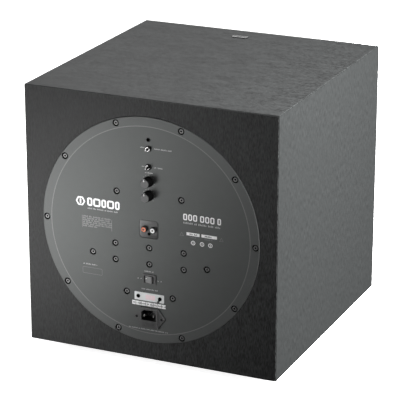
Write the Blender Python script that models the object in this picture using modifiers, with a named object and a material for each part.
"""A powered home subwoofer: a sealed box with a front driver and a round amplifier plate at the rear.

Metres, +Z up. The front faces -Y and the amplifier plate faces +Y. The origin is on the floor, under
the middle of the whole object.
"""

import math

import bmesh
import bpy
from mathutils import Matrix

MM = 0.001
GAP = 0.3 * MM  # clearance between pieces that touch
WELD = 0.002 * MM

# Cabinet
WIDTH, DEPTH, HEIGHT = 400 * MM, 412 * MM, 400 * MM
BOARD = 20 * MM
ARRIS = 1.2 * MM  # small flat along every outside edge
SEAM = 0.1 * MM  # each board stops this short of its mitre plane
FOOT_HEIGHT = 8 * MM
FOOT_INSET = 52 * MM

# Rear amplifier plate, heights counted outwards from the cabinet's rear face
PLATE_RADIUS = 172.8 * MM
PLATE_THICKNESS = 3 * MM
PLATE_FACE = 1.4 * MM
PLATE_BACK = PLATE_FACE - PLATE_THICKNESS
PLATE_RISE = 1.2 * MM  # the plate's centre above the middle of the rear face
REBATE_DEPTH = 3 * MM
REBATE_RADIUS = PLATE_RADIUS + 0.5 * MM
AMP_HOLE_RADIUS = 150 * MM
ON_PLATE = PLATE_FACE + GAP  # where a piece that lies on the plate starts

RIM_SCREWS = 10
RIM_SCREW_CIRCLE = 166.4 * MM
INNER_SCREWS = (  # (across, up) from the plate's centre; each pair is mirrored
    (51.4, 55.3), (91.6, -44.4), (54.7, -25.2), (54.7, -50.6), (37.0, -98.0), (0.0, -25.2), (0.0, -50.6),
)
COUNTERBORE_RADIUS = 5.3 * MM
COUNTERBORE_DEPTH = 2.0 * MM

LED_UP = 139.3 * MM
AUTO_SWITCH_UP = 126.0 * MM
PHASE_SWITCH_UP = 98.6 * MM
LEVEL_UP = 76.8 * MM
CROSSOVER_UP = 55.3 * MM
JACKS_UP = 3.6 * MM
POWER_SWITCH_UP = -73.6 * MM
SELECTOR_UP = -101.6 * MM
INLET_UP = -133.6 * MM

KNOB_HEIGHT = 14 * MM
TOGGLE_PIVOT = -1.0 * MM
JACK_PITCH = 14 * MM
ROCKER_PIVOT = -2.6 * MM
ROCKER_TILT = math.radians(9)
SLIDER_REST = 2 * MM  # off the middle of its window; it slides as far to the other side

# Mains inlet, heights from its own centre
INLET_FRONT = PLATE_FACE + 4.8 * MM
RECESS_UP = 4.4 * MM
RECESS_FLOOR = -10.5 * MM
DRAWER_UP = -9.7 * MM
DRAWER_FRONT = INLET_FRONT + 0.5 * MM

# Front driver, heights counted outwards from the baffle's face
DRIVER_CUTOUT = 139.5 * MM
DRIVER_REBATE = 155.6 * MM
REBATE_FLOOR = -6 * MM
ROLL_MIDDLE = 128.3 * MM
ROLL_RADIUS = 8 * MM
ROLL_BASE = -1.5 * MM
TURNS = 48  # facets round the driver's pieces

FRONT_REACH = ROLL_BASE + ROLL_RADIUS  # how far the surround stands out of the baffle
REAR_REACH = PLATE_FACE + KNOB_HEIGHT  # how far the knobs stand out of the rear face
CABINET_Y = (FRONT_REACH - REAR_REACH) / 2
CABINET_MIDDLE = FOOT_HEIGHT + HEIGHT / 2

PAINTS = {  # colour, roughness, metallic
    "black_ash": ((0.030, 0.031, 0.031), 0.55, 0.0),
    "raw_board": ((0.32, 0.22, 0.13), 0.85, 0.0),
    "plate_paint": ((0.075, 0.078, 0.076), 0.42, 0.3),
    "black_steel": ((0.015, 0.015, 0.016), 0.38, 0.7),
    "bright_metal": ((0.80, 0.80, 0.82), 0.18, 1.0),
    "aluminium": ((0.62, 0.63, 0.65), 0.4, 1.0),
    "rubber": ((0.018, 0.018, 0.018), 0.8, 0.0),
    "foam": ((0.03, 0.03, 0.03), 0.95, 0.0),
    "black_plastic": ((0.017, 0.017, 0.018), 0.4, 0.0),
    "red_plastic": ((0.55, 0.03, 0.02), 0.35, 0.0),
    "white_plastic": ((0.82, 0.82, 0.79), 0.35, 0.0),
    "clear_plastic": ((0.78, 0.80, 0.81), 0.15, 0.0),
    "lens": ((0.03, 0.05, 0.09), 0.1, 0.0),
    "circuit_green": ((0.02, 0.13, 0.06), 0.5, 0.0),
    "winding": ((0.45, 0.18, 0.05), 0.4, 0.6),
    "ferrite": ((0.05, 0.05, 0.055), 0.6, 0.1),
    "cone_paper": ((0.035, 0.035, 0.037), 0.6, 0.0),
    "spider_cloth": ((0.42, 0.30, 0.12), 0.9, 0.0),
    "fuse_glass": ((0.75, 0.78, 0.78), 0.1, 0.0),
}


def clear_scene():
    for obj in list(bpy.data.objects):
        bpy.data.objects.remove(obj)


def new_collection(name):
    collection = bpy.data.collections.new(name)
    bpy.context.scene.collection.children.link(collection)
    return collection


clear_scene()
PARTS = new_collection("powered_subwoofer")
CUTTERS = new_collection("cutters")
PLATE_CUTTERS = new_collection("plate_cutters")
GASKET_CUTTERS = new_collection("gasket_cutters")


def paint(obj, name):
    """Gives the object its own Principled material."""
    colour, roughness, metallic = PAINTS[name]
    material = bpy.data.materials.new(obj.name)
    material.use_nodes = True
    shader = material.node_tree.nodes["Principled BSDF"]
    shader.inputs["Base Color"].default_value = (*colour, 1.0)
    shader.inputs["Roughness"].default_value = roughness
    shader.inputs["Metallic"].default_value = metallic
    obj.data.materials.clear()
    obj.data.materials.append(material)


def frame_empty(name, location, rotation):
    """An empty whose local +Z points out of the face that it stands on."""
    empty = bpy.data.objects.new(name, None)
    empty.location = location
    empty.rotation_euler = rotation
    PARTS.objects.link(empty)
    return empty


REAR_FACE = frame_empty(
    "rear_face_frame",
    (0, CABINET_Y + DEPTH / 2, CABINET_MIDDLE + PLATE_RISE),
    (math.radians(90), 0, math.radians(180)),
)
FRONT_FACE = frame_empty(
    "front_face_frame", (0, CABINET_Y - DEPTH / 2, CABINET_MIDDLE), (math.radians(90), 0, 0)
)


def place(obj, parent, location, rotation=(0, 0, 0)):
    obj.parent = parent
    obj.location = location
    obj.rotation_euler = rotation


def add(name, mesh, colour, parent=None, at=(0, 0, 0), turn=(0, 0, 0)):
    """Puts a mesh into the model as one named part."""
    obj = bpy.data.objects.new(name, mesh)
    PARTS.objects.link(obj)
    place(obj, parent, at, turn)
    if not mesh.materials:
        paint(obj, colour)
    return obj


def cutter(mesh, parent=None, at=(0, 0, 0), turn=(0, 0, 0), collection=None):
    """A shape that is only used to cut or join other parts."""
    obj = bpy.data.objects.new("cutter", mesh)
    (collection or CUTTERS).objects.link(obj)
    obj.hide_render = True
    obj.display_type = "WIRE"
    place(obj, parent, at, turn)
    return obj


def boolean(obj, tool, operation="DIFFERENCE"):
    step = obj.modifiers.new(operation.lower(), "BOOLEAN")
    step.operation = operation
    step.solver = "EXACT"
    if isinstance(tool, bpy.types.Collection):
        step.operand_type = "COLLECTION"
        step.collection = tool
    else:
        step.object = tool


def bevelled(obj, width, segments=1):
    step = obj.modifiers.new("bevel", "BEVEL")
    step.width = width
    step.segments = segments
    step.limit_method = "ANGLE"
    step.angle_limit = math.radians(40)
    return obj


def shaded(mesh):
    mesh.shade_smooth()
    mesh.set_sharp_from_angle(angle=math.radians(32))
    return mesh


def evaluated_mesh(obj):
    """The object's evaluated mesh with its seams welded; the object itself is removed."""
    bpy.context.view_layer.update()
    graph = bpy.context.evaluated_depsgraph_get()
    mesh = bpy.data.meshes.new_from_object(obj.evaluated_get(graph))
    bpy.data.objects.remove(obj)
    welded = bmesh.new()
    welded.from_mesh(mesh)
    bmesh.ops.remove_doubles(welded, verts=welded.verts, dist=WELD)
    welded.to_mesh(mesh)
    welded.free()
    return shaded(mesh)


def turned(profile, steps, ring=False):
    """A solid of revolution. The profile, (radius, height) in mm, runs down its outer side.

    A ring's profile closes on itself; any other starts and ends on the axis.
    """
    mesh = bpy.data.meshes.new("profile")
    count = len(profile)
    edges = [(i, i + 1) for i in range(count - 1)]
    if ring:
        edges.append((count - 1, 0))
    mesh.from_pydata([(r * MM, 0, h * MM) for r, h in profile], edges, [])
    obj = bpy.data.objects.new("profile", mesh)
    bpy.context.scene.collection.objects.link(obj)
    screw = obj.modifiers.new("screw", "SCREW")
    screw.steps = steps
    screw.render_steps = steps
    screw.use_merge_vertices = True
    screw.merge_threshold = 0.000001
    return evaluated_mesh(obj)


def extruded(outline, low, high):
    """A flat outline in mm, extruded from height low to height high, in metres."""
    curve = bpy.data.curves.new("outline", "CURVE")
    curve.dimensions = "2D"
    curve.fill_mode = "BOTH"
    curve.extrude = (high - low) / 2
    spline = curve.splines.new("POLY")
    spline.points.add(len(outline) - 1)
    for point, (x, y) in zip(spline.points, outline):
        point.co = (x * MM, y * MM, 0, 1)
    spline.use_cyclic_u = True
    obj = bpy.data.objects.new("outline", curve)
    bpy.context.scene.collection.objects.link(obj)
    mesh = evaluated_mesh(obj)
    mesh.transform(Matrix.Translation((0, 0, (low + high) / 2)))
    return mesh


def block(width, height, low, high):
    """A box centred on the local Z axis, from height low to height high. Sizes in metres."""
    mesh = bpy.data.meshes.new("block")
    shape = bmesh.new()
    bmesh.ops.create_cube(shape, size=1.0)
    shape.to_mesh(mesh)
    shape.free()
    mesh.transform(
        Matrix.Translation((0, 0, (low + high) / 2)) @ Matrix.Diagonal((width, height, high - low, 1))
    )
    return mesh


def arc(middle, radius, start, end, steps):
    """Points on an arc, in the unit of the radius, angles in degrees."""
    points = []
    for i in range(steps + 1):
        angle = math.radians(start + (end - start) * i / steps)
        points.append((middle[0] + radius * math.cos(angle), middle[1] + radius * math.sin(angle)))
    return points


def rounded_rectangle(width, height, radius, steps=3):
    """Outline in mm, anticlockwise."""
    outline = []
    for corner, (sx, sy) in enumerate(((1, 1), (-1, 1), (-1, -1), (1, -1))):
        middle = (sx * (width / 2 - radius), sy * (height / 2 - radius))
        outline += arc(middle, radius, 90 * corner, 90 * corner + 90, steps)
    return outline


def mirrored(points):
    """Each (across, up) in mm, and its mirror image where it is off the middle, in metres."""
    found = []
    for across, up in points:
        for side in (1, -1) if across else (1,):
            found.append((side * across * MM, up * MM))
    return found


def rim_places():
    for i in range(RIM_SCREWS):
        angle = 2 * math.pi * i / RIM_SCREWS
        yield RIM_SCREW_CIRCLE * math.cos(angle), RIM_SCREW_CIRCLE * math.sin(angle)


# ---------------------------------------------------------------- cabinet


def mitred_board(name, width, height, at, turn):
    """A board with 45 degree edges and its outer face on local +Z, at height 0."""
    shape = bmesh.new()
    bmesh.ops.create_cube(shape, size=1.0)
    for vert in shape.verts:
        inset = ARRIS / 2 if vert.co.z > 0 else BOARD
        vert.co.x = math.copysign(width / 2 - SEAM - inset, vert.co.x)
        vert.co.y = math.copysign(height / 2 - SEAM - inset, vert.co.y)
        vert.co.z = -inset
    shape.faces.ensure_lookup_table()
    outer = max(shape.faces, key=lambda face: face.calc_center_median().z)
    bmesh.ops.inset_individual(shape, faces=[outer], thickness=ARRIS / 2, depth=ARRIS / 2)
    mesh = bpy.data.meshes.new(name)
    shape.to_mesh(mesh)
    shape.free()
    return add(name, mesh, "black_ash", at=at, turn=turn)


def cabinet_boards():
    quarter = math.pi / 2
    middle = (0, CABINET_Y, CABINET_MIDDLE)
    half = WIDTH / 2
    mitred_board("top_panel", WIDTH, DEPTH, (0, CABINET_Y, FOOT_HEIGHT + HEIGHT), (0, 0, 0))
    mitred_board("bottom_panel", WIDTH, DEPTH, (0, CABINET_Y, FOOT_HEIGHT), (math.pi, 0, 0))
    mitred_board("left_panel", HEIGHT, DEPTH, (-half, *middle[1:]), (0, -quarter, 0))
    mitred_board("right_panel", HEIGHT, DEPTH, (half, *middle[1:]), (0, quarter, 0))
    return (
        mitred_board("front_baffle", WIDTH, HEIGHT, tuple(FRONT_FACE.location), (quarter, 0, 0)),
        mitred_board(
            "rear_panel", WIDTH, HEIGHT, (0, CABINET_Y + DEPTH / 2, CABINET_MIDDLE), (quarter, 0, math.pi)
        ),
    )


def stepped_hole(outer, step, inner, floor):
    """A hole cutter: radius outer down to height step, radius inner down to height floor, in metres."""
    points = [(0, 2 * MM), (outer, 2 * MM), (outer, step), (inner, step), (inner, floor), (0, floor)]
    return [(r / MM, h / MM) for r, h in points]


def cut_cabinet(baffle, rear):
    driver_hole = stepped_hole(DRIVER_REBATE, REBATE_FLOOR, DRIVER_CUTOUT, -BOARD - 5 * MM)
    boolean(baffle, cutter(turned(driver_hole, 64), FRONT_FACE))
    amp_hole = stepped_hole(REBATE_RADIUS, -REBATE_DEPTH, AMP_HOLE_RADIUS, -BOARD - 5 * MM)
    boolean(rear, cutter(turned(amp_hole, 96), REAR_FACE))
    pilot = turned([(0, -1), (2.7, -1), (2.7, -17.5), (0, -17.5)], 10)
    pilots = new_collection("pilot_cutters")
    for across, up in rim_places():
        cutter(pilot, REAR_FACE, (across, up, 0), collection=pilots)
    boolean(rear, pilots)


def brace():
    """A window board that ties the four walls together between the driver and the amplifier."""
    clear = WIDTH - 2 * BOARD - 2 * GAP
    at = (0, CABINET_Y - DEPTH / 2 + 190 * MM, CABINET_MIDDLE)
    flat = block(clear, clear, -9 * MM, 9 * MM)
    board = add("cabinet_brace", flat, "raw_board", at=at, turn=(math.pi / 2, 0, 0))
    window = turned([(0, 12), (110, 12), (110, -12), (0, -12)], 32)
    boolean(board, cutter(window, at=at, turn=(math.pi / 2, 0, 0)))


def feet():
    top = FOOT_HEIGHT / MM - GAP / MM
    mesh = turned([(0, top), (17, top), (15.4, 0.9), (14.4, 0), (6, 0), (6, 4), (0, 4)], 20)
    x, y = WIDTH / 2 - FOOT_INSET, DEPTH / 2 - FOOT_INSET
    for number, (sx, sy) in enumerate(((-1, -1), (1, -1), (-1, 1), (1, 1)), 1):
        add(f"foot_{number}", mesh, "rubber", at=(sx * x, CABINET_Y + sy * y, 0))


def badge():
    """A plain rounded bar on the top, near the front edge."""
    mesh = extruded(rounded_rectangle(26, 9, 4.4, 4), 0, 1.2 * MM)
    at = (17 * MM, CABINET_Y - DEPTH / 2 + 40 * MM, FOOT_HEIGHT + HEIGHT + SEAM)
    bevelled(add("top_badge", mesh, "bright_metal", at=at), 0.35 * MM)


# ---------------------------------------------------------------- amplifier plate


def plate_cutter(mesh, across=0.0, up=0.0):
    cutter(mesh, REAR_FACE, (across, up, 0), collection=PLATE_CUTTERS)


def round_cutter(radius, steps=20):
    """A cutter that goes right through the plate."""
    r = radius / MM
    return turned([(0, 3), (r, 3), (r, -5), (0, -5)], steps)


def amp_plate():
    radius, face, back = PLATE_RADIUS / MM, PLATE_FACE / MM, PLATE_BACK / MM
    profile = [(0, face), (radius - 0.4, face), (radius, face - 0.4), (radius, back), (0, back)]
    plate = add("amp_plate", turned(profile, 96), "plate_paint", REAR_FACE)
    bore, floor = COUNTERBORE_RADIUS / MM, face - COUNTERBORE_DEPTH / MM
    rim_hole = turned([(0, 3), (bore, 3), (bore, floor), (2.8, floor), (2.8, -5), (0, -5)], 16)
    for across, up in rim_places():
        plate_cutter(rim_hole, across, up)
    blind_hole = turned([(0, 3), (bore, 3), (bore, floor), (0, floor)], 16)
    for across, up in mirrored(INNER_SCREWS):
        plate_cutter(blind_hole, across, up)
    plate_cutter(round_cutter(2.4 * MM, 16), 0, LED_UP)
    for up in (AUTO_SWITCH_UP, PHASE_SWITCH_UP):
        plate_cutter(round_cutter(3.3 * MM), 0, up)
    for up in (LEVEL_UP, CROSSOVER_UP):
        plate_cutter(round_cutter(3.8 * MM), 0, up)
    plate_cutter(extruded(rounded_rectangle(30, 27.4, 3.5), -5 * MM, 3 * MM), 0, JACKS_UP)
    plate_cutter(block(18.8 * MM, 13.2 * MM, -5 * MM, 3 * MM), 0, POWER_SWITCH_UP)
    plate_cutter(block(20.8 * MM, 9.2 * MM, -5 * MM, 3 * MM), 0, SELECTOR_UP)
    plate_cutter(block(26.6 * MM, 30.4 * MM, -5 * MM, 3 * MM), 0, INLET_UP)
    boolean(plate, PLATE_CUTTERS)


def amp_gasket():
    top = (PLATE_BACK - GAP) / MM
    low = (-REBATE_DEPTH + GAP) / MM
    outer = PLATE_RADIUS / MM
    ring = turned([(outer, top), (outer, low), (152, low), (152, top)], 64, ring=True)
    gasket = add("amp_gasket", ring, "foam", REAR_FACE)
    for across, up in rim_places():
        cutter(round_cutter(3 * MM, 10), REAR_FACE, (across, up, 0), collection=GASKET_CUTTERS)
    boolean(gasket, GASKET_CUTTERS)


def rim_screws():
    """Ten recessed socket screws that hold the plate to the rear panel."""
    top = PLATE_FACE / MM - 0.5
    low = PLATE_FACE / MM - COUNTERBORE_DEPTH / MM + 0.3
    profile = [(0, top), (4.4, top), (4.7, top - 0.3), (4.7, low), (2.4, low), (2.4, -17), (0, -17)]
    mesh = turned(profile, 14)
    socket = turned([(0, top + 1), (1.75, top + 1), (1.75, top - 1.6), (0, top - 1.6)], 6)
    for number, (across, up) in enumerate(rim_places(), 1):
        screw = add(f"amp_screw_{number:02d}", mesh, "black_steel", REAR_FACE, (across, up, 0))
        boolean(screw, cutter(socket, REAR_FACE, (across, up, 0)))


def amp_insides():
    """What the plate carries inside the box: heat sink, circuit board, transformer and capacitor."""
    fins, pitch, thick = 9, 16.3, 3.0
    half = (fins - 1) * pitch / 2 + thick / 2
    comb = [(-half, -2.2), (-half, -43)]
    for i in range(fins):
        left = -half + i * pitch
        comb += [(left + thick, -43), (left + thick, -7.2)] if i < fins - 1 else [(half, -43)]
        if i < fins - 1:
            comb += [(left + pitch, -7.2), (left + pitch, -43)]
    comb += [(half, -2.2)]
    sink = extruded(list(reversed(comb)), -25 * MM, 25 * MM)
    sink.transform(Matrix.Rotation(math.pi / 2, 4, "X"))
    add("heat_sink", sink, "aluminium", REAR_FACE, (0, -37.7 * MM, 0))
    board_top = -43 * MM - GAP
    board = block(220 * MM, 140 * MM, board_top - 1.6 * MM, board_top)
    add("amp_circuit_board", board, "circuit_green", REAR_FACE)
    toroid = [(42, -9)] + arc((36, -34), 6, 0, -90, 3) + arc((20, -34), 6, -90, -180, 3)
    toroid += arc((20, -9), 6, 180, 90, 3) + arc((36, -9), 6, 90, 15, 3)
    add("toroidal_transformer", turned(toroid, 28, ring=True), "winding", REAR_FACE, (-88 * MM, 50 * MM, 0))
    can_top = (board_top - 1.6 * MM - GAP) / MM
    can = [(0, can_top), (17.5, can_top), (17.5, can_top - 48), (16.5, can_top - 49), (0, can_top - 49)]
    add("filter_capacitor", turned(can, 20), "black_plastic", REAR_FACE, (58 * MM, 30 * MM, 0))


def status_led():
    dome = [(0, -2.2), (0.8, -2.45), (1.35, -3.1), (1.5, -3.8), (1.5, -6), (1.9, -6), (1.9, -7), (0, -7)]
    add("status_led", turned(dome, 14), "lens", REAR_FACE, (0, LED_UP, 0))


# ---------------------------------------------------------------- controls


def toggle_switch(name, up):
    """A miniature toggle: bushing, hex nut and case in one piece, and a lever that swings side to side."""
    case = [(0, -3.6), (2.35, -3.6), (2.35, 4.4), (3.0, 4.4), (3.0, -4), (6, -4), (6, -14), (0, -14)]
    body = add(f"{name}_body", turned(case, 18), "bright_metal", REAR_FACE, (0, up, 0))
    nut = turned([(4.5, 3.5), (4.5, 1.7), (2.7, 1.7), (2.7, 3.5)], 6, ring=True)
    boolean(body, cutter(nut, REAR_FACE, (0, up, 0)), "UNION")
    pivot = TOGGLE_PIVOT / MM
    lever = [(0, 11.2 - pivot), (0.8, 11 - pivot), (1.3, 10.3 - pivot), (1.3, 9.6 - pivot), (0.8, 1.6)]
    lever += arc((0, 0), 1.7, 55, -90, 5)
    lever[-1] = (0, -1.7)
    add(f"{name}_lever", turned(lever, 12), "bright_metal", REAR_FACE, (0, up, TOGGLE_PIVOT))


def rotary_control(name, up):
    """A potentiometer behind the plate, and a knob whose shaft turns in its bushing."""
    case = [(0, -9), (3.2, -9), (3.2, 1.6), (3.5, 1.6), (3.5, -2.2), (8.5, -2.2), (8.5, -11), (0, -11)]
    add(f"{name}_control_body", turned(case, 18), "bright_metal", REAR_FACE, (0, up, 0))
    top, low = REAR_REACH / MM, PLATE_FACE / MM + 0.8
    knob = [(0, top), (6.3, top), (6.9, top - 0.6), (7.2, low + 2.2), (7.9, low + 0.5), (7.9, low)]
    knob += [(2.9, low), (2.9, -8.5), (0, -8.5)]
    add(f"{name}_knob", turned(knob, 32), "black_plastic", REAR_FACE, (0, up, 0))


def input_jacks():
    """A two-socket block behind the plate; its red and white jacks stand out through the opening."""
    front = -1.0
    body = extruded(rounded_rectangle(29.4, 26.8, 3.2), -15 * MM, front * MM)
    add("input_jack_housing", body, "black_plastic", REAR_FACE, (0, JACKS_UP, 0))
    jack = [(0, 0.3), (1.75, 0.3), (1.75, 5.4), (4.3, 5.4), (4.6, 5.1), (4.6, front + 0.3), (0, front + 0.3)]
    for name, colour, side in (("right", "red_plastic", -1), ("left", "white_plastic", 1)):
        at = (side * JACK_PITCH / 2, JACKS_UP, 0)
        add(f"input_jack_{name}", turned(jack, 20), colour, REAR_FACE, at)


def power_switch():
    """A rocker in a snap-in frame. It rests pressed on one side and tips about a vertical pivot."""
    at = (0, POWER_SWITCH_UP, 0)
    bezel = extruded(rounded_rectangle(20.6, 15.8, 1.2), ON_PLATE, 3.5 * MM)
    frame = add("power_switch_frame", bezel, "black_plastic", REAR_FACE, at)
    boolean(frame, cutter(block(18.2 * MM, 12.6 * MM, -16 * MM, 2.6 * MM), REAR_FACE, at), "UNION")
    boolean(frame, cutter(block(15.2 * MM, 11.4 * MM, -14 * MM, 6 * MM), REAR_FACE, at))
    outline = [(-3, -4.5), (3, -4.5), (6.2, -1.5), (6.2, 7), (5.7, 7.1), (0, 5.7), (-5.7, 7.1), (-6.2, 7)]
    outline += [(-6.2, -1.5)]
    rocker = extruded(outline, -5.3 * MM, 5.3 * MM)
    rocker.transform(Matrix.Rotation(math.pi / 2, 4, "X"))
    pivot = (0, POWER_SWITCH_UP, ROCKER_PIVOT)
    piece = add("power_switch_rocker", rocker, "black_plastic", REAR_FACE, pivot, (0, -ROCKER_TILT, 0))
    bevelled(piece, 0.35 * MM)


def voltage_selector():
    """A slide switch for the mains voltage, under a clear guard that two screws hold down."""
    at = (0, SELECTOR_UP, 0)
    body = add("voltage_selector_body", block(28 * MM, 12 * MM, -11 * MM, PLATE_BACK - GAP), "black_plastic",
               REAR_FACE, at)
    boolean(body, cutter(block(20.4 * MM, 8.6 * MM, -7.5 * MM, 1 * MM), REAR_FACE, at))
    slider = block(15.6 * MM, 8 * MM, -7.2 * MM, 0.8 * MM)
    add("voltage_selector_slider", slider, "red_plastic", REAR_FACE, (SLIDER_REST, SELECTOR_UP, 0))
    sheet = extruded(rounded_rectangle(47.4, 12.4, 0.8), ON_PLATE, ON_PLATE + 1.2 * MM)
    guard = add("voltage_selector_guard", sheet, "clear_plastic", REAR_FACE, at)
    for side in (-1, 1):
        hole = (side * 17.4 * MM, SELECTOR_UP, 0)
        boolean(guard, cutter(round_cutter(1.7 * MM, 14), REAR_FACE, (hole[0], hole[1], 2 * MM)))
    notch = block(3.4 * MM, 9 * MM, 1 * MM, 4 * MM)
    slanted = (15.1 * MM, SELECTOR_UP - 4.4 * MM, 0)
    boolean(guard, cutter(notch, REAR_FACE, slanted, (0, 0, math.radians(-28))))


def chamfered_recess(width, height, chamfer):
    """The mains inlet's mouth: a rectangle with its two upper corners cut off."""
    x, y = width / 2, height / 2
    return [(-x, -y), (x, -y), (x, y - chamfer), (x - chamfer, y), (-x + chamfer, y), (-x, y - chamfer)]


def mains_inlet():
    """The mains inlet with screw ears, its three pins, and the fuse drawer under the recess."""
    at = (0, INLET_UP, 0)
    ears = [(13.8, -15), (23.4, -2.4), (24.4, -0.9), (24.4, 0.9), (23.4, 2.4), (13.8, 15)]
    outline = ears + [(-x, y) for x, y in reversed(ears)]
    bracket = extruded(outline, ON_PLATE, PLATE_FACE + 2.6 * MM)
    inlet = add("mains_inlet", bracket, "black_plastic", REAR_FACE, at)
    boolean(inlet, cutter(block(27.6 * MM, 31.4 * MM, ON_PLATE, INLET_FRONT), REAR_FACE, at), "UNION")
    boolean(inlet, cutter(block(26 * MM, 29.8 * MM, -24 * MM, 3 * MM), REAR_FACE, at), "UNION")
    recess = extruded(chamfered_recess(24, 16.6, 4.6), RECESS_FLOOR, 9 * MM)
    boolean(inlet, cutter(recess, REAR_FACE, (0, INLET_UP + RECESS_UP, 0)))
    slot = block(22.8 * MM, 9 * MM, -20 * MM, 9 * MM)
    boolean(inlet, cutter(slot, REAR_FACE, (0, INLET_UP + DRAWER_UP, 0)))
    for side in (-1, 1):
        hole = cutter(round_cutter(1.7 * MM, 14), REAR_FACE, (side * 20 * MM, INLET_UP, 3 * MM))
        boolean(inlet, hole)
    pins = (("line", -7, -1.2), ("neutral", 7, -1.2), ("earth", 0, 2.8))
    for name, across, up in pins:
        blade = block(2 * MM, 4 * MM, RECESS_FLOOR + GAP, INLET_FRONT - 1.6 * MM)
        spot = (across * MM, INLET_UP + RECESS_UP + up * MM, 0)
        bevelled(add(f"mains_pin_{name}", blade, "bright_metal", REAR_FACE, spot), 0.4 * MM)
    fuse_drawer()


def fuse_drawer():
    at = (0, INLET_UP + DRAWER_UP, 0)
    tray = block(22.2 * MM, 8.4 * MM, -16 * MM, DRAWER_FRONT)
    drawer = add("fuse_drawer", tray, "black_plastic", REAR_FACE, at)
    grooves = new_collection("groove_cutters")
    for i in range(-3, 4):
        groove = block(1 * MM, 6 * MM, DRAWER_FRONT - 0.6 * MM, DRAWER_FRONT + 1 * MM)
        cutter(groove, REAR_FACE, (i * 2.8 * MM, at[1], 0), collection=grooves)
    boolean(drawer, grooves)
    pocket = block(20.8 * MM, 8 * MM, -10.1 * MM, -3.9 * MM)
    boolean(drawer, cutter(pocket, REAR_FACE, (0, at[1] + 1.1 * MM, 0)))
    fuse = turned([(0, 10), (2.4, 10), (2.6, 9.8), (2.6, -9.8), (2.4, -10), (0, -10)], 14)
    add("mains_fuse", fuse, "fuse_glass", REAR_FACE, (0, at[1] + 0.1 * MM, -7 * MM), (0, math.pi / 2, 0))


# ---------------------------------------------------------------- front driver


def driver_basket():
    outside = [(154.6, -0.5), (155, -0.9), (155, -5.7), (139, -5.7), (138.6, -9), (84, -88), (84, -94)]
    inside = [(41, -94), (41, -91), (80.5, -91), (134.6, -9.5), (134.6, -3), (143.5, -3), (143.5, -0.5)]
    mesh = turned(outside + inside, 64, ring=True)
    basket = add("driver_basket", mesh, "black_steel", FRONT_FACE)
    windows = new_collection("basket_windows")
    for i in range(6):
        angle = math.radians(60 * i + 30)
        window = block(62 * MM, 52 * MM, 0, 90 * MM)
        window.transform(Matrix.Translation((0, 0, 62 * MM)))
        turn = Matrix.Rotation(angle, 4, "Z") @ Matrix.Rotation(math.pi / 2, 4, "X")
        window.transform(turn)
        cutter(window, FRONT_FACE, (0, 0, -51 * MM), collection=windows)
    boolean(basket, windows)


def cone_height(radius):
    """Height in mm of the cone's front surface: a straight flare with a slight bulge."""
    share = (radius - 27) / 85
    return -70.5 + 67.5 * share + 7 * share * (1 - share)


def driver_cone():
    radii = [112, 95, 78, 61, 44, 27]
    front = [(r, cone_height(r)) for r in reversed(radii)]
    back = [(r + 0.6, cone_height(r) - 2.2) for r in radii]
    profile = [(119, -3), (119, -5)] + back + [(27.6, -77), (25.7, -77), (25.7, -70.5)] + front
    add("driver_cone", turned(profile, TURNS, ring=True), "cone_paper", FRONT_FACE)
    cap_rim = cone_height(40) + 0.6
    dome = [(0, -45.5), (12, -46.4), (24, -49.3), (34, -54.2), (39.6, cap_rim + 0.8), (40, cap_rim)]
    hollow = [(38.4, cap_rim), (33, -55.6), (23.3, -50.7), (11.8, -47.9), (0, -47)]
    add("driver_dust_cap", turned(dome + hollow, TURNS), "cone_paper", FRONT_FACE)
    coil = [(25.4, -68), (25.4, -95), (26.1, -95), (26.1, -111), (25.4, -111), (25.4, -116), (24.4, -116)]
    add("driver_voice_coil", turned(coil + [(24.4, -68)], 32, ring=True), "winding", FRONT_FACE)


def driver_suspension():
    """The half-roll surround at the front and the corrugated spider behind the cone."""
    middle, radius, base = ROLL_MIDDLE / MM, ROLL_RADIUS / MM, ROLL_BASE / MM
    under = arc((middle, base - 1.2), radius - 1, 0, 180, 6)
    over = arc((middle, base), radius, 180, 0, 8)
    profile = [(143.1, base), (143.1, base - 1.2)] + under + [(114, base - 1.2), (114, base)] + over
    add("driver_surround", turned(profile, TURNS, ring=True), "rubber", FRONT_FACE)
    waves = []
    for i in range(13):
        r = 25.8 + 3.6 * i
        waves.append((r, -87.4 + (1.3 if i % 2 else -1.3)))
    top = waves + [(75, -89.6)]
    low = [(r, h - 1) for r, h in top]
    add("driver_spider", turned(list(reversed(low)) + top, 36, ring=True), "spider_cloth", FRONT_FACE)


def driver_motor():
    plate = [(70, -94.3), (70, -102.3), (26.9, -102.3), (26.9, -94.3)]
    add("driver_top_plate", turned(plate, 40, ring=True), "black_steel", FRONT_FACE)
    magnet = [(80, -102.6), (80, -126.6), (38, -126.6), (38, -102.6)]
    add("driver_magnet", turned(magnet, 40, ring=True), "ferrite", FRONT_FACE)
    yoke = [(23.4, -94.5), (23.4, -126.9), (75, -126.9), (75, -134.9), (9, -134.9), (9, -94.5)]
    add("driver_yoke", turned(yoke, 40, ring=True), "black_steel", FRONT_FACE)


def build():
    baffle, rear = cabinet_boards()
    cut_cabinet(baffle, rear)
    brace()
    feet()
    badge()
    amp_plate()
    amp_gasket()
    rim_screws()
    amp_insides()
    status_led()
    toggle_switch("auto_switch", AUTO_SWITCH_UP)
    toggle_switch("phase_switch", PHASE_SWITCH_UP)
    rotary_control("level", LEVEL_UP)
    rotary_control("crossover", CROSSOVER_UP)
    input_jacks()
    power_switch()
    voltage_selector()
    mains_inlet()
    driver_basket()
    driver_cone()
    driver_suspension()
    driver_motor()


build()
